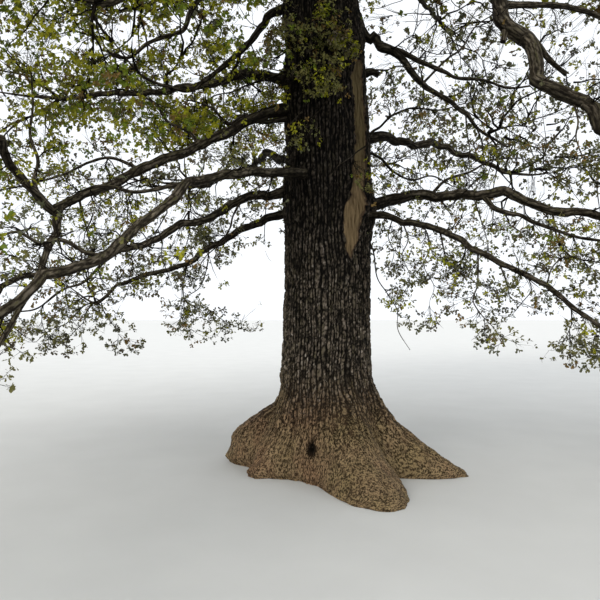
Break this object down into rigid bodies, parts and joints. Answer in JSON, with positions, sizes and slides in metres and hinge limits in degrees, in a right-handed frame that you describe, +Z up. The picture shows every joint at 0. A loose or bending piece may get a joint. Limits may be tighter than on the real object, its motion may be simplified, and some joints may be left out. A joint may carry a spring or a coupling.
{
  "type": "english oak tree",
  "caption": "Whole open-grown oak in young spring leaf: flared straight trunk with a bare scar, low sweeping boughs and a rounded airy crown.",
  "frame": {"origin": "middle of the flat cut under the trunk, at ground level", "axes": "+Z up the trunk; -Y towards the side that the picture was taken from; +X to the right of the tree seen from there"},
  "size_m": [17.0099, 14.8753, 17.3941],
  "materials": {
    "trunk_bark": "deeply furrowed dark grey-brown bark, tan and smoother on the root flare",
    "bough_bark": "rough dark grey-brown bark, greenish on top",
    "foliage": "young yellow-green leaves with a bronze tinge, on thin dark twigs"
  },
  "bodies": {
    "root": {"bough_back_left_low": "bough_bark", "bough_back_low": "bough_bark", "bough_back_right_low": "bough_bark", "bough_crown_1": "bough_bark", "bough_crown_2": "bough_bark", "bough_crown_3": "bough_bark", "bough_front_left_hang": "bough_bark", "bough_front_right_hang": "bough_bark", "bough_high_1": "bough_bark", "bough_high_2": "bough_bark", "bough_high_3": "bough_bark", "bough_high_4": "bough_bark", "bough_high_5": "bough_bark", "bough_leader": "bough_bark", "bough_left_back_low": "bough_bark", "bough_left_droop": "bough_bark", "bough_left_front_low": "bough_bark", "bough_left_low": "bough_bark", "bough_left_mid": "bough_bark", "bough_left_upper": "bough_bark", "bough_middle_1": "bough_bark", "bough_middle_2": "bough_bark", "bough_middle_3": "bough_bark", "bough_middle_4": "bough_bark", "bough_middle_5": "bough_bark", "bough_middle_6": "bough_bark", "bough_right_droop": "bough_bark", "bough_right_low": "bough_bark", "bough_right_upper": "bough_bark", "foliage_back_left_low": "foliage", "foliage_back_low": "foliage", "foliage_back_right_low": "foliage", "foliage_crown_1": "foliage", "foliage_crown_2": "foliage", "foliage_crown_3": "foliage", "foliage_front_left_hang": "foliage", "foliage_front_right_hang": "foliage", "foliage_high_1": "foliage", "foliage_high_2": "foliage", "foliage_high_3": "foliage", "foliage_high_4": "foliage", "foliage_high_5": "foliage", "foliage_leader": "foliage", "foliage_left_back_low": "foliage", "foliage_left_droop": "foliage", "foliage_left_front_low": "foliage", "foliage_left_low": "foliage", "foliage_left_mid": "foliage", "foliage_left_upper": "foliage", "foliage_middle_1": "foliage", "foliage_middle_2": "foliage", "foliage_middle_3": "foliage", "foliage_middle_4": "foliage", "foliage_middle_5": "foliage", "foliage_middle_6": "foliage", "foliage_right_droop": "foliage", "foliage_right_low": "foliage", "foliage_right_upper": "foliage", "foliage_trunk_shoots": "foliage", "trunk": "trunk_bark"}
  },
  "joints": []
}
